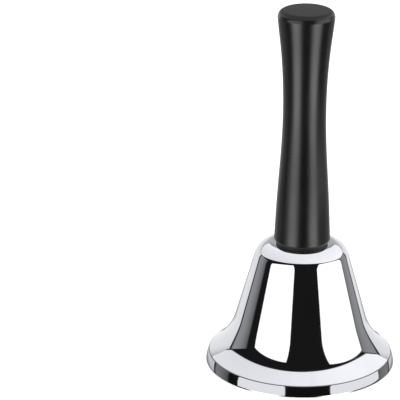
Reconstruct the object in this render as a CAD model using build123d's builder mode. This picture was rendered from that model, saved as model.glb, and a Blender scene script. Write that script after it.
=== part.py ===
from build123d import *
import math
import os

os.makedirs("parts", exist_ok=True)

# A hand bell standing on its rim, in millimetres, +Z up.
# The origin is the centre of the mouth, on the plane that the rim rests on.
# Everything that is turned is turned about Z. The clapper hangs at rest, straight down.

# Bell: a spun shell of constant wall, plated inside and out
rim_radius = 33.0
lip_height = 3.6
lip_top_radius = 32.1
lip_bulge_radius = 15.0
flare_top_radius = 22.9
flare_top_height = 16.5
cone_angle = 15.75  # side of the bell, from vertical
crown_height = 44.0
shoulder_radius = 5.5
wall = 1.0

# Handle: one turned grip, waisted in the middle, with a slightly domed end
seat_washer_radius = 9.0
seat_washer_height = 1.2
handle_foot_radius = 9.75
handle_waist_radius = 7.4
handle_end_radius = 9.95
handle_top = 128.2
handle_dome = 0.5
foot_edge_radius = 0.8
end_edge_radius = 2.4

# Threaded insert, pressed blind into the foot of the handle
insert_radius = 4.0
insert_depth = 12.0
insert_groove = 0.5

# M4 eye bolt and the pieces that clamp it under the crown
stud_radius = 2.0
thread_gap = 0.05
stud_length_above_crown = 11.0
washer_radius = 4.5
washer_height = 0.8
lock_washer_radius = 3.7
lock_washer_height = 1.0
lock_washer_slot = 1.1
nut_across_flats = 7.0
nut_height = 3.2
eye_wire_radius = 1.0
eye_ring_radius = 2.8
eye_height = 34.0

# Link: an oval of wire through the eye
link_wire_radius = 0.8
link_bend_radius = 2.2
link_pitch = 4.0  # between the centres of its two bends

# Clapper: a wire rod with a ring at its top, and a steel bob on its end
rod_ring_wire_radius = 0.7
rod_ring_radius = 2.0
rod_shank_radius = 0.8
bob_radius = 6.5
bob_length = 11.0
bob_bottom = 5.0
bob_face_radius = 5.2
bob_face_chamfer = 0.7
bob_back_radius = 4.5
rod_depth_in_bob = 7.0

# Heights that follow from the sizes above
crown_underside = crown_height - wall
handle_foot = crown_height + seat_washer_height
lock_washer_top = crown_underside - washer_height
nut_top = lock_washer_top - lock_washer_height
nut_bottom = nut_top - nut_height
link_axis_height = eye_height - eye_ring_radius
rod_axis_height = link_axis_height - link_pitch - link_bend_radius
bob_top = bob_bottom + bob_length


# Shell: lip, flare, straight side, rounded shoulder and flat crown
shoulder_corner = flare_top_radius - (crown_height - flare_top_height) * math.tan(
    math.radians(cone_angle)
)
lip_top = (lip_top_radius, lip_height)
flare_top = (flare_top_radius, flare_top_height)
side_direction = (math.sin(math.radians(cone_angle)), -math.cos(math.radians(cone_angle)))

with BuildPart() as bell_shell:
    with BuildSketch(Plane.XZ):
        with BuildLine():
            RadiusArc(lip_top, (rim_radius, 0), lip_bulge_radius)
            Polyline((rim_radius, 0), (0, 0), (0, crown_height))
            Polyline((0, crown_height), (shoulder_corner, crown_height), flare_top)
            TangentArc(flare_top, lip_top, tangent=side_direction)
        make_face()
    revolve(axis=Axis.Z)
    shoulder_edge = bell_shell.edges().filter_by(GeomType.CIRCLE).sort_by(Axis.Z)[-1]
    fillet(shoulder_edge, shoulder_radius)
    mouth = bell_shell.faces().sort_by(Axis.Z)[0]
    offset(amount=-wall, openings=mouth, kind=Kind.INTERSECTION)
    with BuildSketch(Plane.XY.offset(crown_underside)):
        Circle(stud_radius + thread_gap)
    extrude(amount=wall, mode=Mode.SUBTRACT)
bell_shell.part.label = "bell_shell"
export_step(bell_shell.part, "parts/bell_shell.step")


# Seat washer: the thin black ring between the crown and the handle
with BuildPart() as handle_washer:
    with BuildSketch(Plane.XY.offset(crown_height)):
        Circle(seat_washer_radius)
        Circle(stud_radius + thread_gap, mode=Mode.SUBTRACT)
    extrude(amount=seat_washer_height)
handle_washer.part.label = "handle_washer"
export_step(handle_washer.part, "parts/handle_washer.step")


# Handle: its side is one smooth curve from the foot, in to the waist and out to the end
waist_height = 0.57 * (handle_top - handle_foot) + handle_foot
lower_side = (0.5 * (handle_foot_radius + handle_waist_radius), handle_foot + 22.0)
upper_side = (0.5 * (handle_end_radius + handle_waist_radius), handle_top - 12.0)
end_height = handle_top - handle_dome

with BuildPart() as handle:
    with BuildSketch(Plane.XZ):
        with BuildLine():
            Polyline((0, handle_top), (0, handle_foot), (handle_foot_radius, handle_foot))
            Spline(
                (handle_foot_radius, handle_foot),
                lower_side,
                (handle_waist_radius, waist_height),
                upper_side,
                (handle_end_radius, end_height),
                tangents=((-0.05, 1), (0.05, 1)),
            )
            ThreePointArc(
                (handle_end_radius, end_height),
                (0.5 * handle_end_radius, handle_top - 0.25 * handle_dome),
                (0, handle_top),
            )
        make_face()
    revolve(axis=Axis.Z)
    with BuildSketch(Plane.XY.offset(handle_foot)):
        Circle(insert_radius)
    extrude(amount=insert_depth, mode=Mode.SUBTRACT)
    rings = handle.edges().filter_by(lambda edge: edge.is_closed)
    fillet(rings.sort_by(Axis.Z)[-1], end_edge_radius)
    foot_rings = rings.group_by(Axis.Z)[0]
    fillet(foot_rings.sort_by(SortBy.RADIUS)[-1], foot_edge_radius)
handle.part.label = "handle"
export_step(handle.part, "parts/handle.step")


# Insert: a brass bush with two grip grooves and a blind threaded bore
groove_heights = (handle_foot + insert_depth / 3, handle_foot + 2 * insert_depth / 3)

with BuildPart() as handle_insert:
    with BuildSketch(Plane.XY.offset(handle_foot)):
        Circle(insert_radius)
    extrude(amount=insert_depth)
    with BuildSketch(Plane.XY.offset(handle_foot)):
        Circle(stud_radius + thread_gap)
    extrude(amount=insert_depth - wall, mode=Mode.SUBTRACT)
    for groove_height in groove_heights:
        with BuildSketch(Plane.XY.offset(groove_height)):
            Circle(insert_radius)
            Circle(insert_radius - insert_groove, mode=Mode.SUBTRACT)
        extrude(amount=insert_groove, both=True, mode=Mode.SUBTRACT)
handle_insert.part.label = "handle_insert"
export_step(handle_insert.part, "parts/handle_insert.step")


# Eye bolt: a threaded stud that tapers into a closed ring of thinner wire
neck_top = nut_bottom - 0.4
neck_bottom = eye_height + eye_ring_radius - 0.2

with BuildPart() as eye_bolt:
    with BuildSketch(Plane.XY.offset(neck_top)):
        Circle(stud_radius)
    extrude(amount=crown_height + stud_length_above_crown - neck_top)
    chamfer(eye_bolt.edges().sort_by(Axis.Z)[-1], 0.5)
    with BuildSketch(Plane.XZ):
        with BuildLine():
            Polyline(
                (0, neck_bottom),
                (eye_wire_radius, neck_bottom),
                (stud_radius, neck_top),
                (0, neck_top),
                close=True,
            )
        make_face()
    revolve(axis=Axis.Z)
    with BuildSketch(Plane.YZ):
        with Locations((0, eye_height + eye_ring_radius)):
            Circle(eye_wire_radius)
    revolve(axis=Axis((0, 0, eye_height), (0, 1, 0)))
eye_bolt.part.label = "eye_bolt"
export_step(eye_bolt.part, "parts/eye_bolt.step")


# Flat washer, split lock washer and nut, in the order they go up under the crown
with BuildPart() as crown_washer:
    with BuildSketch(Plane.XY.offset(lock_washer_top)):
        Circle(washer_radius)
        Circle(stud_radius + thread_gap, mode=Mode.SUBTRACT)
    extrude(amount=washer_height)
crown_washer.part.label = "crown_washer"
export_step(crown_washer.part, "parts/crown_washer.step")

split_plane = Plane(
    origin=(lock_washer_radius, 0, nut_top + lock_washer_height / 2), z_dir=(0, 0.5, 1)
)

with BuildPart() as lock_washer:
    with BuildSketch(Plane.XY.offset(nut_top)):
        Circle(lock_washer_radius)
        Circle(stud_radius + thread_gap, mode=Mode.SUBTRACT)
    extrude(amount=lock_washer_height)
    with BuildSketch(split_plane):
        Rectangle(2 * lock_washer_radius, lock_washer_slot)
    extrude(amount=lock_washer_radius, both=True, mode=Mode.SUBTRACT)
lock_washer.part.label = "lock_washer"
export_step(lock_washer.part, "parts/lock_washer.step")

nut_corner_radius = nut_across_flats / math.sqrt(3)
nut_face_radius = 0.95 * nut_across_flats / 2
nut_bevel = (nut_corner_radius - nut_face_radius) / 2

with BuildPart() as eye_nut:
    with BuildSketch(Plane.XY.offset(nut_bottom)):
        RegularPolygon(nut_across_flats / 2, 6, major_radius=False)
        Circle(stud_radius + thread_gap, mode=Mode.SUBTRACT)
    extrude(amount=nut_height)
    with BuildSketch(Plane.XZ):
        with BuildLine():
            Polyline(
                (0, nut_bottom),
                (nut_face_radius, nut_bottom),
                (nut_corner_radius, nut_bottom + nut_bevel),
                (nut_corner_radius, nut_top - nut_bevel),
                (nut_face_radius, nut_top),
                (0, nut_top),
                close=True,
            )
        make_face()
    revolve(axis=Axis.Z, mode=Mode.INTERSECT)
eye_nut.part.label = "eye_nut"
export_step(eye_nut.part, "parts/eye_nut.step")


# Link: its upper bend is centred on the wire of the eye, so it swings clear of it
link_lower_bend = link_axis_height - link_pitch

with BuildPart() as clapper_link:
    with BuildLine():
        Line((0, link_bend_radius, link_axis_height), (0, link_bend_radius, link_lower_bend))
        ThreePointArc(
            (0, link_bend_radius, link_lower_bend),
            (0, 0, link_lower_bend - link_bend_radius),
            (0, -link_bend_radius, link_lower_bend),
        )
        Line((0, -link_bend_radius, link_lower_bend), (0, -link_bend_radius, link_axis_height))
        ThreePointArc(
            (0, -link_bend_radius, link_axis_height),
            (0, 0, link_axis_height + link_bend_radius),
            (0, link_bend_radius, link_axis_height),
        )
    with BuildSketch(Plane((0, link_bend_radius, link_axis_height), z_dir=(0, 0, -1))):
        Circle(link_wire_radius)
    sweep()
clapper_link.part.label = "clapper_link"
export_step(clapper_link.part, "parts/clapper_link.step")


# Rod: a ring about the lower bend of the link, and a straight shank into the bob
shank_top = rod_axis_height - rod_ring_radius
shank_bottom = bob_top - rod_depth_in_bob

with BuildPart() as clapper_rod:
    with BuildSketch(Plane.YZ):
        with Locations((0, rod_axis_height + rod_ring_radius)):
            Circle(rod_ring_wire_radius)
    revolve(axis=Axis((0, 0, rod_axis_height), (0, 1, 0)))
    with BuildSketch(Plane.XY.offset(shank_bottom)):
        Circle(rod_shank_radius)
    extrude(amount=shank_top - shank_bottom)
clapper_rod.part.label = "clapper_rod"
export_step(clapper_rod.part, "parts/clapper_rod.step")


# Bob: a steel slug with a flat bevelled face below, a rounded back and a blind bore
with BuildPart() as clapper_bob:
    with BuildSketch(Plane.XY.offset(bob_bottom)):
        Circle(bob_radius)
    extrude(amount=bob_length)
    fillet(clapper_bob.edges().sort_by(Axis.Z)[-1], bob_back_radius)
    face_edge = clapper_bob.edges().sort_by(Axis.Z)[0]
    chamfer(face_edge, bob_face_chamfer, bob_radius - bob_face_radius)
    with BuildSketch(Plane.XY.offset(bob_top)):
        Circle(rod_shank_radius)
    extrude(amount=-rod_depth_in_bob, mode=Mode.SUBTRACT)
clapper_bob.part.label = "clapper_bob"
export_step(clapper_bob.part, "parts/clapper_bob.step")
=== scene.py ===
import math

import bpy
from mathutils import Matrix, Vector


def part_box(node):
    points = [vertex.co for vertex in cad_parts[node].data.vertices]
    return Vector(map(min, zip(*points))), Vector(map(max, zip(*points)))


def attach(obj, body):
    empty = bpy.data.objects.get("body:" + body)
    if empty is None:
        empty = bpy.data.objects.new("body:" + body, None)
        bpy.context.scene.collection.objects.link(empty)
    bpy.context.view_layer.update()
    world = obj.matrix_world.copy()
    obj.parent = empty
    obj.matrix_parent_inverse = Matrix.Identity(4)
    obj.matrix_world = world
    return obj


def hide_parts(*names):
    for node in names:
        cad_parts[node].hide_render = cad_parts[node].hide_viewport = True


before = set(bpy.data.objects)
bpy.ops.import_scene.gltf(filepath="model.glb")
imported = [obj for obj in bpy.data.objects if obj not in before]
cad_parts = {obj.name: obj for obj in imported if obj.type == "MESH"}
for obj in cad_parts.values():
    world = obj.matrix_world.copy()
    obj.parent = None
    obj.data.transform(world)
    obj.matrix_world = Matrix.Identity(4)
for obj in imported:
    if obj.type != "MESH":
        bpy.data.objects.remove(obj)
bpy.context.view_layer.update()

# A chrome hand bell with a black handle, standing on its rim. Lengths are metres, and mm() makes
# them from millimetres. The mouth is centred on the origin and +Z is up.


def mm(millimetres):
    """Millimetres to metres."""
    return millimetres / 1000


# ---------------------------------------------------------------- sizes

shell_low, shell_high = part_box("bell_shell")
ring_low, ring_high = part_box("handle_washer")
handle_low, handle_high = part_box("handle")
insert_low, insert_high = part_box("handle_insert")
bolt_low, bolt_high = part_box("eye_bolt")
washer_low, washer_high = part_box("crown_washer")
spring_low, spring_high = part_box("lock_washer")
nut_low, nut_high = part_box("eye_nut")
link_low, link_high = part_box("clapper_link")
rod_low, rod_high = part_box("clapper_rod")
bob_low, bob_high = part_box("clapper_bob")

RIM_RADIUS = shell_high.x
CROWN_HEIGHT = shell_high.z
WALL = CROWN_HEIGHT - washer_high.z
BORE_RADIUS = mm(2.05)

# Shell: lip, flare, straight side and shoulder
LIP_HEIGHT = mm(3.6)
LIP_TOP_RADIUS = mm(32.1)
LIP_BULGE_RADIUS = mm(15.0)
FLARE_TOP_RADIUS = mm(22.9)
FLARE_TOP_HEIGHT = mm(16.5)
SIDE_LEAN = math.radians(15.75)
SHOULDER_RADIUS = mm(5.5)

# Handle: height, radius and outward slope at its foot, along its side and at its end
HANDLE_FOOT_RADIUS = mm(9.75)
HANDLE_SIDE = [
    (handle_low.z, HANDLE_FOOT_RADIUS, -0.045),
    (mm(67.2), mm(8.575), -0.070),
    (mm(92.5), mm(7.4), 0.0),
    (mm(116.2), mm(8.675), 0.115),
    (mm(127.7), mm(9.95), 0.08),
]

# Eye bolt, link and rod: wires by their radius, rings and bends to the middle of the wire
EYE_WIRE = mm(1.0)
EYE_RING = mm(2.8)
STUD_RADIUS = mm(2.0)
THREAD_PITCH = mm(0.7)
THREAD_DEPTH = mm(0.38)
LINK_WIRE = mm(0.8)
LINK_BEND = mm(2.2)
ROD_WIRE = mm(0.7)
ROD_RING = mm(2.0)

MERGE_DISTANCE = mm(0.002)
SMOOTH_ANGLE = math.radians(30)


# ---------------------------------------------------------------- modelling tools


def start_mesh(name, add, **settings):
    """Adds a primitive at its size and place, all selected, with its origin at the scene's."""
    bpy.ops.object.select_all(action="DESELECT")
    add(**settings)
    piece = bpy.context.object
    piece.name = name
    piece.data.name = name
    bpy.ops.object.transform_apply(location=True, rotation=True, scale=True)
    bpy.ops.object.mode_set(mode="EDIT")
    bpy.ops.mesh.select_all(action="SELECT")
    return piece


def close_mesh():
    """Merges doubles, turns the faces outwards and leaves edit mode."""
    bpy.ops.mesh.select_all(action="SELECT")
    bpy.ops.mesh.remove_doubles(threshold=MERGE_DISTANCE)
    bpy.ops.mesh.normals_make_consistent(inside=False)
    bpy.ops.object.mode_set(mode="OBJECT")


def apply_modifier(piece, kind, **settings):
    """Adds a modifier with these settings and applies it."""
    bpy.context.view_layer.objects.active = piece
    modifier = piece.modifiers.new(kind.title(), kind)
    for setting, value in settings.items():
        setattr(modifier, setting, value)
    bpy.ops.object.modifier_apply(modifier=modifier.name)


def combine(piece, other, operation):
    """Joins another mesh to a piece, or keeps only what they share. The other mesh is used up."""
    apply_modifier(piece, "BOOLEAN", object=other, operation=operation, solver="EXACT")
    bpy.data.objects.remove(other)


def shade(piece):
    """Shades the faces smoothly, apart from across sharp edges."""
    bpy.ops.object.select_all(action="DESELECT")
    piece.select_set(True)
    bpy.context.view_layer.objects.active = piece
    bpy.ops.object.shade_smooth_by_angle(angle=SMOOTH_ANGLE)
    apply_modifier(piece, "WEIGHTED_NORMAL", keep_sharp=True)


def soften(piece, width):
    """Rounds the sharp edges a little and shades the faces smoothly."""
    apply_modifier(
        piece, "BEVEL", width=width, segments=3, limit_method="ANGLE", angle_limit=SMOOTH_ANGLE
    )
    shade(piece)


def draw_on(move):
    """Extrudes the selected points, edges or section in a straight line."""
    bpy.ops.mesh.extrude_region_move(TRANSFORM_OT_translate={"value": move})


def bend_on(centre, axis, angle, steps):
    """Extrudes the selected section round an axis, by the right-hand rule. Spin is left-handed."""
    left_handed = tuple(-value for value in axis)
    bpy.ops.mesh.spin(steps=steps, angle=angle, center=centre, axis=left_handed)


def turned(name, outline, sides, closed=False):
    """A piece turned about Z: its outline of (radius, height) points is drawn, then spun."""
    first_radius, first_height = outline[0]
    place = (first_radius, 0, first_height)
    piece = start_mesh(name, bpy.ops.mesh.primitive_plane_add, size=mm(1), location=place)
    bpy.ops.mesh.merge(type="CENTER")
    path = outline + outline[:1] if closed else outline
    for (radius, height), (next_radius, next_height) in zip(path, path[1:]):
        draw_on((next_radius - radius, 0, next_height - height))
    bpy.ops.mesh.select_all(action="SELECT")
    bpy.ops.mesh.remove_doubles(threshold=MERGE_DISTANCE)
    bpy.ops.mesh.spin(steps=sides, angle=math.tau, center=(0, 0, 0), axis=(0, 0, 1))
    close_mesh()
    return piece


def arc(centre, radius, start, end, steps):
    """Points of an arc in the (radius, height) plane, from angle start to angle end."""
    points = []
    for step in range(steps + 1):
        angle = start + (end - start) * step / steps
        points.append((centre[0] + radius * math.cos(angle), centre[1] + radius * math.sin(angle)))
    return points


def straight(start, end, steps):
    """Points of a straight run, without its last one."""
    start, end = Vector(start), Vector(end)
    return [tuple(start.lerp(end, step / steps)) for step in range(steps)]


def parallel(outline, distance):
    """The outline moved sideways, with its corners kept and without its two end points."""
    points = [Vector(point) for point in outline]
    moved = []
    for before, point, after in zip(points, points[1:], points[2:]):
        first = (point - before).normalized()
        second = (after - point).normalized()
        first_normal = Vector((-first.y, first.x))
        second_normal = Vector((-second.y, second.x))
        corner = (first_normal + second_normal) / (1 + first_normal.dot(second_normal))
        moved.append(tuple(point + corner * distance))
    return moved


# ---------------------------------------------------------------- the bell


def lip_arc(lip_top):
    """The bulging side of the lip, from the rim up to the crease."""
    rim = Vector((RIM_RADIUS, 0))
    half_chord = (lip_top - rim) / 2
    centre_distance = math.sqrt(LIP_BULGE_RADIUS ** 2 - half_chord.length_squared)
    inwards = Vector((-half_chord.y, half_chord.x)).normalized()
    centre = rim + half_chord + inwards * centre_distance
    start, end = (math.atan2(*(point - centre).yx) for point in (rim, lip_top))
    return arc(centre, LIP_BULGE_RADIUS, start, end, 8)


def flare_arc(lip_top):
    """The hollow flare, from the crease up to where it runs into the straight side."""
    flare_top = Vector((FLARE_TOP_RADIUS, FLARE_TOP_HEIGHT))
    across_side = Vector((math.cos(SIDE_LEAN), math.sin(SIDE_LEAN)))
    chord = lip_top - flare_top
    radius = chord.length_squared / (2 * chord.dot(across_side))
    centre = flare_top + radius * across_side
    start = math.atan2(*(lip_top - centre).yx) + math.tau
    return arc(centre, radius, start, math.pi + SIDE_LEAN, 24)


def shoulder_arc():
    """The round shoulder between the straight side and the flat crown."""
    corner = FLARE_TOP_RADIUS - (CROWN_HEIGHT - FLARE_TOP_HEIGHT) * math.tan(SIDE_LEAN)
    shoulder_run = SHOULDER_RADIUS / math.tan((math.pi / 2 + SIDE_LEAN) / 2)
    centre = (corner - shoulder_run, CROWN_HEIGHT - SHOULDER_RADIUS)
    return arc(centre, SHOULDER_RADIUS, SIDE_LEAN, math.pi / 2, 16)


def make_shell():
    """The spun shell: its outside from the rim to the bore, and its inside a wall's width in."""
    lip_top = Vector((LIP_TOP_RADIUS, LIP_HEIGHT))
    shoulder = shoulder_arc()
    outer = lip_arc(lip_top) + flare_arc(lip_top)[1:]
    outer += straight(outer.pop(), shoulder[0], 16)
    outer += shoulder
    outer += straight(outer.pop(), (BORE_RADIUS, CROWN_HEIGHT), 6)
    outer.append((BORE_RADIUS, CROWN_HEIGHT))

    rim_lean = math.atan2(RIM_RADIUS - outer[1][0], outer[1][1])
    inner = [(RIM_RADIUS - WALL / math.cos(rim_lean), 0)]
    inner += parallel(outer, WALL)
    inner.append((BORE_RADIUS, CROWN_HEIGHT - WALL))
    piece = turned("bell_plated_shell", outer + inner[::-1], sides=256, closed=True)
    soften(piece, mm(0.12))
    return piece


# ---------------------------------------------------------------- the handle


def handle_radius(height):
    """Radius of the handle's side: wide at the foot, narrow at the waist, widest at the end."""
    for (low, radius, slope), (high, next_radius, next_slope) in zip(HANDLE_SIDE, HANDLE_SIDE[1:]):
        if height <= high:
            break
    run = high - low
    along = (height - low) / run
    ease = along ** 2 * (3 - 2 * along)
    leaving = along * (1 - along) ** 2 * run * slope
    arriving = along ** 2 * (along - 1) * run * next_slope
    return radius + (next_radius - radius) * ease + leaving + arriving


def make_handle():
    """The turned grip: a blind bore, a flat foot, a waisted side and a slightly domed end."""
    foot, top = handle_low.z, handle_high.z
    foot_edge = mm(0.8)
    end_edge = mm(2.4)
    end_depth = mm(2.7)
    edge_start, edge_end = math.radians(-5.5), math.radians(84.5)
    bore_radius, bore_top = insert_high.x, insert_high.z

    outline = [(0, bore_top), (bore_radius, bore_top)]
    outline += straight((bore_radius, foot), (HANDLE_FOOT_RADIUS - foot_edge, foot), 5)
    foot_centre = (HANDLE_FOOT_RADIUS - foot_edge, foot + foot_edge)
    outline += arc(foot_centre, foot_edge, -math.pi / 2, 0, 6)

    side_low = foot + foot_edge
    side_high = top - end_depth
    side_steps = 64
    for step in range(1, side_steps):
        height = side_low + (side_high - side_low) * step / side_steps
        outline.append((handle_radius(height), height))

    end_centre = (
        handle_radius(side_high) - end_edge * math.cos(edge_start),
        side_high - end_edge * math.sin(edge_start),
    )
    outline += arc(end_centre, end_edge, edge_start, edge_end, 18)
    edge_radius, edge_height = outline[-1]
    dome_steps = 12
    for step in range(1, dome_steps + 1):
        across = 1 - step / dome_steps
        rise = (top - edge_height) * (1 - across ** 2)
        outline.append((edge_radius * across, edge_height + rise))
    piece = turned("handle_grip", outline, sides=160)
    shade(piece)
    return piece


def make_insert():
    """A brass bush with grooved sides and a blind bore, pressed into the handle."""
    low, high = insert_low.z, insert_high.z
    radius = insert_high.x
    groove = mm(0.25)
    bevel = mm(0.4)
    bore_top = bolt_high.z + mm(0.1)
    bore_tip = bolt_high.z + mm(0.5)
    outline = [(0, bore_tip), (BORE_RADIUS, bore_top)]
    outline += [(BORE_RADIUS, low + bevel), (BORE_RADIUS + bevel, low)]
    outline += [(radius - bevel, low), (radius, low + bevel)]
    bands = 8
    pitch = (high - low - 2 * bevel) / bands
    for band in range(1, bands):
        middle = low + bevel + band * pitch
        outline += [(radius, middle - groove), (radius - groove, middle), (radius, middle + groove)]
    outline += [(radius, high - bevel), (radius - bevel, high), (0, high)]
    piece = turned("handle_brass_insert", outline, sides=96)
    shade(piece)
    return piece


def flat_ring(name, box_low, box_high, edge, sides):
    """A flat ring that fills its box, with a bore for the stud and softened edges."""
    outer = box_high.x
    low, high = box_low.z, box_high.z
    outline = [(BORE_RADIUS, low), (outer, low), (outer, high), (BORE_RADIUS, high)]
    piece = turned(name, outline, sides=sides, closed=True)
    soften(piece, edge)
    return piece


# ---------------------------------------------------------------- the fastener under the crown


def make_eye_bolt():
    """A threaded stud that necks down into a closed eye."""
    sunk = mm(0.9)
    neck_height = mm(0.5)
    neck_bottom = bolt_low.z + 2 * (EYE_RING + EYE_WIRE) - sunk
    thread_bottom = nut_low.z - mm(0.4)
    root_radius = STUD_RADIUS - THREAD_DEPTH
    outline = [(0, neck_bottom), (1.1 * EYE_WIRE, neck_bottom)]
    outline += [(1.25 * EYE_WIRE, neck_bottom + neck_height), (0.9 * STUD_RADIUS, thread_bottom)]
    turns = int((bolt_high.z - thread_bottom) / THREAD_PITCH)
    for turn in range(turns):
        root = thread_bottom + (turn + 0.35) * THREAD_PITCH
        crest = thread_bottom + (turn + 0.85) * THREAD_PITCH
        crest_top = crest + 0.12 * THREAD_PITCH
        outline += [(root_radius, root), (STUD_RADIUS, crest), (STUD_RADIUS, crest_top)]
    end_bevel = mm(0.5)
    outline += [(STUD_RADIUS - end_bevel, bolt_high.z), (0, bolt_high.z)]
    stud = turned("eye_bolt_forged", outline, sides=48)
    eye = start_mesh(
        "eye",
        bpy.ops.mesh.primitive_torus_add,
        major_radius=EYE_RING,
        minor_radius=EYE_WIRE,
        major_segments=96,
        minor_segments=32,
        location=(0, 0, bolt_low.z + EYE_WIRE + EYE_RING),
        rotation=(math.pi / 2, 0, 0),
    )
    close_mesh()
    combine(stud, eye, "UNION")
    shade(stud)
    return stud


def make_nut():
    """A hexagon cut down to a turned blank, which bevels its corners and bores it."""
    low, high = nut_low.z, nut_high.z
    flats = nut_high.y - nut_low.y
    corner = flats / math.sqrt(3)
    face = 0.95 * flats / 2
    bevel = (corner - face) / 2
    bore_bevel = mm(0.3)
    piece = start_mesh(
        "eye_nut_hexagon",
        bpy.ops.mesh.primitive_cylinder_add,
        vertices=6,
        radius=corner,
        depth=high - low,
        location=(0, 0, (low + high) / 2),
        rotation=(0, 0, math.pi / 6),
    )
    close_mesh()
    outline = [(BORE_RADIUS, low + bore_bevel), (BORE_RADIUS + bore_bevel, low)]
    outline += [(face, low), (corner, low + bevel), (corner, high - bevel), (face, high)]
    outline += [(BORE_RADIUS + bore_bevel, high), (BORE_RADIUS, high - bore_bevel)]
    blank = turned("nut_blank", outline, sides=96, closed=True)
    combine(piece, blank, "INTERSECT")
    soften(piece, mm(0.08))
    return piece


def make_lock_washer():
    """A square section of spring wire spun nearly all the way round."""
    gap = math.radians(16)
    inner, outer = BORE_RADIUS, spring_high.y
    low, high = spring_low.z, spring_high.z
    middle = (inner + outer) / 2
    height = (low + high) / 2
    piece = start_mesh(
        "lock_washer_spring",
        bpy.ops.mesh.primitive_plane_add,
        size=outer - inner,
        location=(middle * math.cos(gap / 2), middle * math.sin(gap / 2), height),
        rotation=(math.pi / 2, 0, gap / 2),
    )
    squash = (high - low) / (outer - inner)
    bpy.ops.transform.resize(value=(1, 1, squash), center_override=(0, 0, height))
    # An extrusion of no length leaves the section behind, as the wire's first end.
    bpy.ops.mesh.extrude_region_move()
    bend_on((0, 0, 0), (0, 0, 1), math.tau - gap, 72)
    close_mesh()
    soften(piece, mm(0.08))
    return piece


# ---------------------------------------------------------------- the clapper


def start_wire(name, place, radius):
    """The round section that a wire is drawn from."""
    add = bpy.ops.mesh.primitive_circle_add
    return start_mesh(name, add, vertices=32, radius=radius, location=place)


def make_link():
    """An oval of wire: a bend, a straight leg, a bend and a straight leg."""
    upper = (0, 0, link_high.z - LINK_WIRE - LINK_BEND)
    lower = (0, 0, link_low.z + LINK_WIRE + LINK_BEND)
    leg = upper[2] - lower[2]
    piece = start_wire("clapper_oval_link", (0, LINK_BEND, upper[2]), LINK_WIRE)
    bend_on(upper, (1, 0, 0), math.pi, 40)
    draw_on((0, 0, -leg))
    bend_on(lower, (1, 0, 0), math.pi, 40)
    draw_on((0, 0, leg))
    close_mesh()
    shade(piece)
    return piece


def make_rod():
    """A wire that runs up from the bob and is bent round into a ring about the link."""
    ring_centre = (0, 0, rod_high.z - ROD_WIRE - ROD_RING)
    ring_turn = math.radians(310)
    neck_turn = math.radians(62)
    neck_radius = ROD_RING * math.cos(neck_turn) / (1 - math.cos(neck_turn))
    neck_start = ring_centre[2] - (ROD_RING + neck_radius) * math.sin(neck_turn)
    piece = start_wire("clapper_wire_rod", (0, 0, rod_low.z), ROD_WIRE)
    draw_on((0, 0, neck_start - rod_low.z))
    bend_on((neck_radius, 0, neck_start), (0, 1, 0), neck_turn, 16)
    bend_on(ring_centre, (0, -1, 0), ring_turn, 72)
    bpy.ops.mesh.select_all(action="SELECT")
    bpy.ops.mesh.fill_holes(sides=0)
    close_mesh()
    soften(piece, mm(0.1))
    return piece


def make_bob():
    """A turned slug: a flat face with a bevel, a short straight side and a rounded back."""
    radius = bob_high.x
    bottom, top = bob_low.z, bob_high.z
    face = mm(5.2)
    face_centre = mm(0.6)
    bevel_end = (radius - mm(0.15), bottom + mm(0.65))
    side_edge = mm(0.5)
    side_edge_centre = (radius - side_edge, bottom + mm(1.0))
    side_low = bottom + mm(1.2)
    back = mm(4.5)
    bore, bore_bevel, bore_depth = mm(0.8), mm(0.3), mm(2)
    outline = [(0, bottom)]
    outline += straight((face_centre, bottom), (face, bottom), 8)
    outline += [(face, bottom), bevel_end]
    outline += arc(side_edge_centre, side_edge, math.radians(-40), 0, 4)
    outline += straight((radius, side_low), (radius, top - back), 6)
    outline += arc((radius - back, top - back), back, 0, math.pi / 2, 20)
    outline += [(bore + bore_bevel, top), (bore, top - bore_bevel)]
    outline += [(bore, top - bore_depth), (0, top - bore_depth)]
    piece = turned("clapper_steel_bob", outline, sides=128)
    soften(piece, mm(0.1))
    return piece


# ---------------------------------------------------------------- shader tools


class Value:
    """A number that varies over a surface. Sums and products of Values add their Math nodes."""

    def __init__(self, finish, socket):
        self.finish = finish
        self.socket = socket

    def __add__(self, other):
        return self.finish.math("ADD", self, other)

    __radd__ = __add__

    def __mul__(self, other):
        return self.finish.math("MULTIPLY", self, other)

    __rmul__ = __mul__

    def __sub__(self, other):
        return self.finish.math("SUBTRACT", self, other)

    def __rsub__(self, other):
        return self.finish.math("SUBTRACT", other, self)

    def __neg__(self):
        return 0 - self

    def step(self, low, high):
        """0 below low, 1 above high, and a smooth rise between them."""
        settings = {"interpolation_type": "SMOOTHSTEP"}
        inputs = {"Value": self, "From Min": low, "From Max": high, "To Min": 0.0, "To Max": 1.0}
        return self.finish.node("ShaderNodeMapRange", settings, inputs)

    def past(self, limit, edge):
        """0 before a limit and 1 past it, with an edge this soft on each side of it."""
        return self.step(limit - edge, limit + edge)

    def between(self, low, high, edge):
        """1 between two limits and 0 elsewhere, with soft edges."""
        return self.past(low, edge) * (1 - self.past(high, edge))


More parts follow.
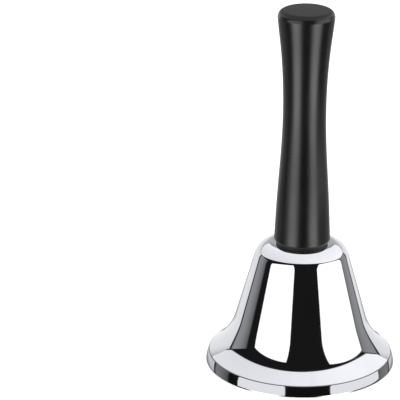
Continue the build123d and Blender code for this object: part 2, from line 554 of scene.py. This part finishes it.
class Finish:
    """A node tree: a material's, or the world's."""

    def __init__(self, tree):
        self.tree = tree

    def node(self, kind, settings=None, inputs=(), output=0):
        """Adds a node. Its settings come first, then its inputs, by name or in order."""
        node = self.tree.nodes.new(kind)
        for setting, value in (settings or {}).items():
            setattr(node, setting, value)
        pairs = inputs.items() if isinstance(inputs, dict) else enumerate(inputs)
        for key, value in pairs:
            if isinstance(value, Value):
                self.tree.links.new(value.socket, node.inputs[key])
            else:
                node.inputs[key].default_value = value
        return Value(self, node.outputs[output]) if node.outputs else None

    def math(self, operation, *inputs):
        """A Math node's result."""
        return self.node("ShaderNodeMath", {"operation": operation}, inputs)

    def mix(self, factor, first, second):
        """A colour between two colours."""
        inputs = {0: factor, 6: first, 7: second}
        return self.node("ShaderNodeMix", {"data_type": "RGBA"}, inputs, output=2)

    def point(self):
        """The place on the piece, in millimetres from the scene's origin."""
        place = self.node("ShaderNodeTexCoord", output=3)
        scale = {"operation": "SCALE"}
        return self.node("ShaderNodeVectorMath", scale, {0: place, "Scale": 1000.0})

    def parts(self, vector):
        """The X, Y and Z of a vector."""
        outputs = self.node("ShaderNodeSeparateXYZ", None, [vector]).socket.node.outputs
        return [Value(self, output) for output in outputs]

    def stretched(self, place, factors):
        """The place with each axis multiplied, so that a pattern stretches or packs along it."""
        return self.node("ShaderNodeVectorMath", {"operation": "MULTIPLY"}, [place, factors])

    def turned(self, place, packing):
        """The place as radius and height, packed, so that a pattern makes rings about Z."""
        x, y, height = self.parts(place)
        radius = self.math("SQRT", x * x + y * y)
        return self.node("ShaderNodeCombineXYZ", None, [radius * packing, 0.0, height * packing])

    def noise(self, place, scale, detail=4.0, roughness=0.55):
        """A cloudy pattern between 0 and 1, mostly near its middle."""
        inputs = {"Vector": place, "Scale": scale, "Detail": detail, "Roughness": roughness}
        return self.node("ShaderNodeTexNoise", None, inputs)

    def bump(self, height, strength, depth):
        """A normal that follows a height. A height of 1 is this many metres deep."""
        inputs = {"Height": height, "Strength": strength, "Distance": depth}
        return self.node("ShaderNodeBump", None, inputs)

    def shader(self, inputs):
        """The surface shader with these inputs."""
        return self.node("ShaderNodeBsdfPrincipled", None, inputs)

    def end(self, shader):
        """Joins the last shader to the material's output."""
        self.node("ShaderNodeOutputMaterial", None, {"Surface": shader})


def new_material(name):
    """An empty material and its node tree."""
    material = bpy.data.materials.new(name)
    material.use_nodes = True
    material.node_tree.nodes.clear()
    return material, Finish(material.node_tree)


# ---------------------------------------------------------------- finishes


def chrome_plate():
    """Bright chrome: polishing lines round the bell, smears, scratches and a slight waviness. The
    lip below the crease is a little rougher, with painted shade darkening its colour, and the
    crease itself is painted dark, as shade."""
    material, finish = new_material("chrome_plate")
    place = finish.point()
    height = finish.parts(place)[2]
    lines = finish.noise(finish.turned(place, 3.0), 1.0, detail=6.0, roughness=0.7)
    smears = finish.noise(finish.stretched(place, (1.0, 1.0, 0.45)), 0.06, detail=3.0)
    smears = smears.step(0.5, 0.75)
    scratches = finish.noise(finish.stretched(place, (0.6, 0.6, 9.0)), 0.35, detail=7.0)
    scratches = scratches.step(0.62, 0.8)
    waves = finish.noise(place, 0.09, detail=1.0)
    lip_top = LIP_HEIGHT / mm(1)
    lip = 1 - height.step(lip_top - 0.4, lip_top + 0.1)
    # Painted shade: a dark line along the crease between the flare and the lip, mixed in with the
    # shaded colour.
    crease = height.between(lip_top - 0.1, lip_top + 0.2, 0.12)

    clean = (0.66, 0.665, 0.70, 1.0)
    hazed = (0.60, 0.61, 0.645, 1.0)
    # Painted shade: the darker colour on this line goes on the lip below the crease, standing in
    # for its darker reflection.
    end_wear_and_painted_lip_shade = (0.43, 0.435, 0.46, 1.0)
    shaded = (0.05, 0.05, 0.055, 1.0)
    colour = finish.mix(lip, finish.mix(smears * 0.6, clean, hazed), end_wear_and_painted_lip_shade)
    colour = finish.mix(crease * 0.85, colour, shaded)
    roughness = 0.022 + lines * 0.018 + smears * 0.03 + scratches * 0.035 + lip * 0.02
    inputs = {
        "Base Color": colour,
        "Metallic": 1.0,
        "Roughness": roughness,
        "Normal": finish.bump(waves + lines * 0.004, 0.35, mm(0.02)),
    }
    finish.end(finish.shader(inputs))
    return material


def black_lacquer():
    """Satin black lacquer over turned wood: faint long grain, orange peel, specks and rubbing. The
    end of the handle is worn matt."""
    material, finish = new_material("black_lacquer")
    place = finish.point()
    height = finish.parts(place)[2]
    grain = finish.noise(finish.stretched(place, (1.0, 1.0, 0.06)), 1.6, detail=6.0, roughness=0.65)
    peel = finish.noise(place, 1.1, detail=2.0)
    rubbing = finish.noise(finish.stretched(place, (1.0, 1.0, 0.3)), 0.12, detail=4.0)
    rubbing = rubbing.step(0.45, 0.75)
    specks = finish.noise(place, 4.0, detail=2.0).step(0.70, 0.76)
    top = handle_high.z / mm(1)
    # This mask is real wear on the handle's end, worn matt and a little greyer; the chrome's lip
    # colour of the same name is painted shade.
    end_wear_and_painted_lip_shade = height.step(top - 1.2, top - 0.4)

    black = (0.0065, 0.0065, 0.007, 1.0)
    grey = (0.014, 0.014, 0.015, 1.0)
    colour = finish.mix(rubbing * 0.35 + end_wear_and_painted_lip_shade * 0.4 + specks * 0.3, black, grey)
    inputs = {
        "Base Color": colour,
        "Roughness": 0.24 + rubbing * 0.06 + grain * 0.08 + end_wear_and_painted_lip_shade * 0.08,
        "Normal": finish.bump(grain * 0.5 + peel, 0.25, mm(0.01)),
        "Specular IOR Level": 0.5,
    }
    matt = finish.node("ShaderNodeBsdfDiffuse", None, {"Color": colour})
    finish.end(finish.node("ShaderNodeMixShader", None, [end_wear_and_painted_lip_shade * 0.6, finish.shader(inputs), matt]))
    return material


def black_fibre():
    """Pressed black fibre: matt, with a fine fleck."""
    material, finish = new_material("black_fibre")
    fleck = finish.noise(finish.point(), 2.6, detail=5.0)
    black = (0.005, 0.005, 0.005, 1.0)
    grey = (0.014, 0.014, 0.014, 1.0)
    inputs = {
        "Base Color": finish.mix(fleck.step(0.5, 0.8), black, grey),
        "Roughness": fleck * 0.2 + 0.45,
        "Normal": finish.bump(fleck, 0.4, mm(0.03)),
    }
    finish.end(finish.shader(inputs))
    return material


def turned_metal(name, bright, dull, roughness, line_depth):
    """Turned or drawn metal: fine rings about Z, with patches of duller colour."""
    material, finish = new_material(name)
    place = finish.point()
    lines = finish.noise(finish.turned(place, 6.0), 1.0, detail=5.0, roughness=0.6)
    patches = finish.noise(place, 0.35, detail=4.0).step(0.4, 0.75)
    inputs = {
        "Base Color": finish.mix(patches * 0.7 + lines * 0.2, bright, dull),
        "Metallic": 1.0,
        "Roughness": roughness + patches * 0.1 + lines * 0.08,
        "Normal": finish.bump(lines, 0.5, line_depth),
    }
    finish.end(finish.shader(inputs))
    return material


# ---------------------------------------------------------------- the studio

# How bright each part of the studio is. The overhead panel gains its slant towards the right.
FRONT_PANELS = 1.7
LOW_STREAKS = 5.2
OVERHEAD_PANEL = 1.22
OVERHEAD_SLANT = 0.20
SWEEP = 1.04
FLAGS = 0.36
TABLE = 0.9
ROOM = 0.012

# How soft the edge of a panel is, across the unit directions
PANEL_EDGE = 0.012


def front_panels(studio, x, ahead, up, turn, rise):
    """Two white panels in front with a dark gap between them, under a slanting top edge."""
    swing = math.radians(12)
    swung_ahead = ahead * math.cos(swing) + x * math.sin(swing)
    swung_x = x * math.cos(swing) - ahead * math.sin(swing)
    top_edge = 0.87 * swung_ahead + 0.38 * studio.math("ABSOLUTE", swung_x)
    left_panel = turn.past(-80, 0.8) * (-x).past(0.32, 0.008)
    right_panel = x.past(0.57, 0.008) * (1 - turn.past(107, 0.8))
    return (left_panel + right_panel) * (top_edge - up).past(0, PANEL_EDGE) * rise.past(-13, 1)


def low_streaks(either, rise):
    """A bright streak low down in front, on either side."""
    fading = 0.55 + 0.45 * rise.step(-36, -18)
    return either.between(26, 62, 9) * rise.between(-42, -14.5, 1.5) * fading


def overhead_panel(x, aside, back, up):
    """A panel overhead that stops short of the front, the back and the sides."""
    front_side = (up + 0.55 * back + 0.03 * x).past(0.567, PANEL_EDGE)
    back_side = (2.42 * up - back).past(0, PANEL_EDGE)
    outer_sides = (2.6 * up - aside).past(0, PANEL_EDGE)
    return front_side * back_side * outer_sides


def sweep_and_flags(studio, aside, back, up, turn, rise):
    """The pale sweep behind, dimmer high up and low down, and the grey flags at the sides."""
    behind = (back - 2.46 * up).past(0, PANEL_EDGE)
    beside = (aside - 2.80 * up).past(0, PANEL_EDGE)
    outside = studio.math("MAXIMUM", behind, beside)
    dimmed = (1 - 0.5 * rise.step(8, 24)) * (0.35 + 0.65 * rise.step(-20, -14))
    beyond = (-turn).past(127.5, 1) + turn.past(136.5, 1)
    left_flag = turn.between(-123.5, -96, 2.0) * (-turn).step(80, 118)
    right_flag = turn.between(108.5, 133, 1.5) * turn.step(80, 125)
    return SWEEP * beyond * outside * dimmed + FLAGS * (left_flag + right_flag) * outside


def make_world():
    """The studio that the chrome shows, by direction. Turn is the angle from the front, positive
    to the right, and either is the same to both sides. Rise is the angle above the horizon. A
    camera that looks straight at it sees plain white."""
    world = bpy.data.worlds.new("studio")
    bpy.context.scene.world = world
    world.use_nodes = True
    world.node_tree.nodes.clear()
    studio = Finish(world.node_tree)

    x, back, up = studio.parts(studio.node("ShaderNodeTexCoord"))
    ahead = -back
    aside = studio.math("ABSOLUTE", x)
    degrees = 180 / math.pi
    turn = studio.math("ARCTAN2", x, ahead) * degrees
    either = studio.math("ARCTAN2", aside, ahead) * degrees
    rise = studio.math("ARCSINE", up) * degrees

    amount = FRONT_PANELS * front_panels(studio, x, ahead, up, turn, rise)
    amount += LOW_STREAKS * low_streaks(either, rise)
    amount += (OVERHEAD_PANEL + OVERHEAD_SLANT * x) * overhead_panel(x, aside, back, up)
    amount += sweep_and_flags(studio, aside, back, up, turn, rise)
    amount += TABLE * (1 - rise.step(-60, -50)) + ROOM

    pale = (1.0, 1.0, 1.0, 1.0)
    reflected = studio.node("ShaderNodeBackground", None, {"Color": pale, "Strength": amount})
    white = studio.node("ShaderNodeBackground", None, {"Color": pale, "Strength": 1.0})
    seen = studio.node("ShaderNodeLightPath")
    chosen = studio.node("ShaderNodeMixShader", None, [seen, reflected, white])
    studio.node("ShaderNodeOutputWorld", None, {"Surface": chosen})


def floor_finish():
    """Pale board, clear from below, so that the bell's mouth can be looked into."""
    material, finish = new_material("pale_floor")
    patches = finish.noise(finish.point(), 0.004, detail=2.0)
    inputs = {
        "Base Color": finish.mix(patches, (0.86, 0.86, 0.87, 1.0), (0.90, 0.90, 0.91, 1.0)),
        "Roughness": 0.6,
        "Specular IOR Level": 0.2,
        "Emission Color": (1.0, 1.0, 1.0, 1.0),
        "Emission Strength": 0.45,
    }
    board = finish.shader(inputs)
    clear = finish.node("ShaderNodeBsdfTransparent")
    from_below = finish.node("ShaderNodeNewGeometry", output=6)
    finish.end(finish.node("ShaderNodeMixShader", None, [from_below, board, clear]))
    return material


def make_floor():
    """A pale floor with an opening under the mouth, so that light reaches the inside from below.
    The chrome shows the studio and not the floor."""
    height = mm(-0.05)
    opening, surround, edge = RIM_RADIUS - WALL, mm(120), mm(6000)
    outline = [(opening, height), (surround, height), (edge, height)]
    floor = turned("floor", outline, sides=96)
    if floor.data.polygons[0].normal.z < 0:
        floor.data.flip_normals()
    floor.data.materials.append(floor_finish())
    floor.visible_glossy = False


def make_camera():
    """A long lens, a little above the bell, with the bell to the right of the middle."""
    elevation = math.radians(20.73)
    roll = math.radians(0.307)
    distance = mm(898)
    target = Vector((mm(-35.5), 0, mm(59.56)))
    data = bpy.data.cameras.new("camera")
    data.sensor_width = 36.0
    data.lens = 234.0
    data.clip_end = 50.0
    camera = bpy.data.objects.new("camera", data)
    bpy.context.scene.collection.objects.link(camera)
    ahead = Vector((0, math.cos(elevation), -math.sin(elevation)))
    tilt = Matrix.Rotation(math.pi / 2 - elevation, 4, "X") @ Matrix.Rotation(roll, 4, "Z")
    camera.matrix_world = Matrix.Translation(target - ahead * distance) @ tilt
    bpy.context.scene.camera = camera


# ---------------------------------------------------------------- assembly


def place_piece(piece, body, node, material):
    """Gives a finished piece its material and its body, and hides the CAD node that it replaces."""
    piece.data.materials.clear()
    piece.data.materials.append(material)
    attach(piece, body)
    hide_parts(node)


make_camera()
make_world()
make_floor()
bpy.context.scene.view_settings.view_transform = "Standard"

chrome = chrome_plate()
lacquer = black_lacquer()
fibre = black_fibre()
zinc = turned_metal(
    "zinc_plate", (0.62, 0.63, 0.66, 1.0), (0.46, 0.47, 0.50, 1.0), 0.22, mm(0.004)
)
steel = turned_metal(
    "clapper_steel", (0.60, 0.60, 0.62, 1.0), (0.42, 0.42, 0.44, 1.0), 0.14, mm(0.003)
)
brass = turned_metal(
    "turned_brass", (0.80, 0.60, 0.27, 1.0), (0.60, 0.42, 0.17, 1.0), 0.25, mm(0.004)
)

seat_washer = flat_ring("handle_seat_washer", ring_low, ring_high, mm(0.2), sides=160)
crown_washer = flat_ring("crown_flat_washer", washer_low, washer_high, mm(0.12), sides=128)
handle_grip = make_handle()
brass_insert = make_insert()
eye_bolt = make_eye_bolt()

# These three stay out of reflections, so that the crown shows the studio and the seat washer.
for piece in (handle_grip, brass_insert, eye_bolt):
    piece.visible_glossy = False

place_piece(make_shell(), "bell", "bell_shell", chrome)
place_piece(handle_grip, "bell", "handle", lacquer)
place_piece(brass_insert, "bell", "handle_insert", brass)
place_piece(seat_washer, "bell", "handle_washer", fibre)
place_piece(crown_washer, "bell", "crown_washer", zinc)
place_piece(eye_bolt, "bell", "eye_bolt", zinc)
place_piece(make_nut(), "bell", "eye_nut", zinc)
place_piece(make_lock_washer(), "bell", "lock_washer", zinc)
place_piece(make_link(), "link", "clapper_link", steel)
place_piece(make_rod(), "clapper", "clapper_rod", steel)
place_piece(make_bob(), "clapper", "clapper_bob", steel)
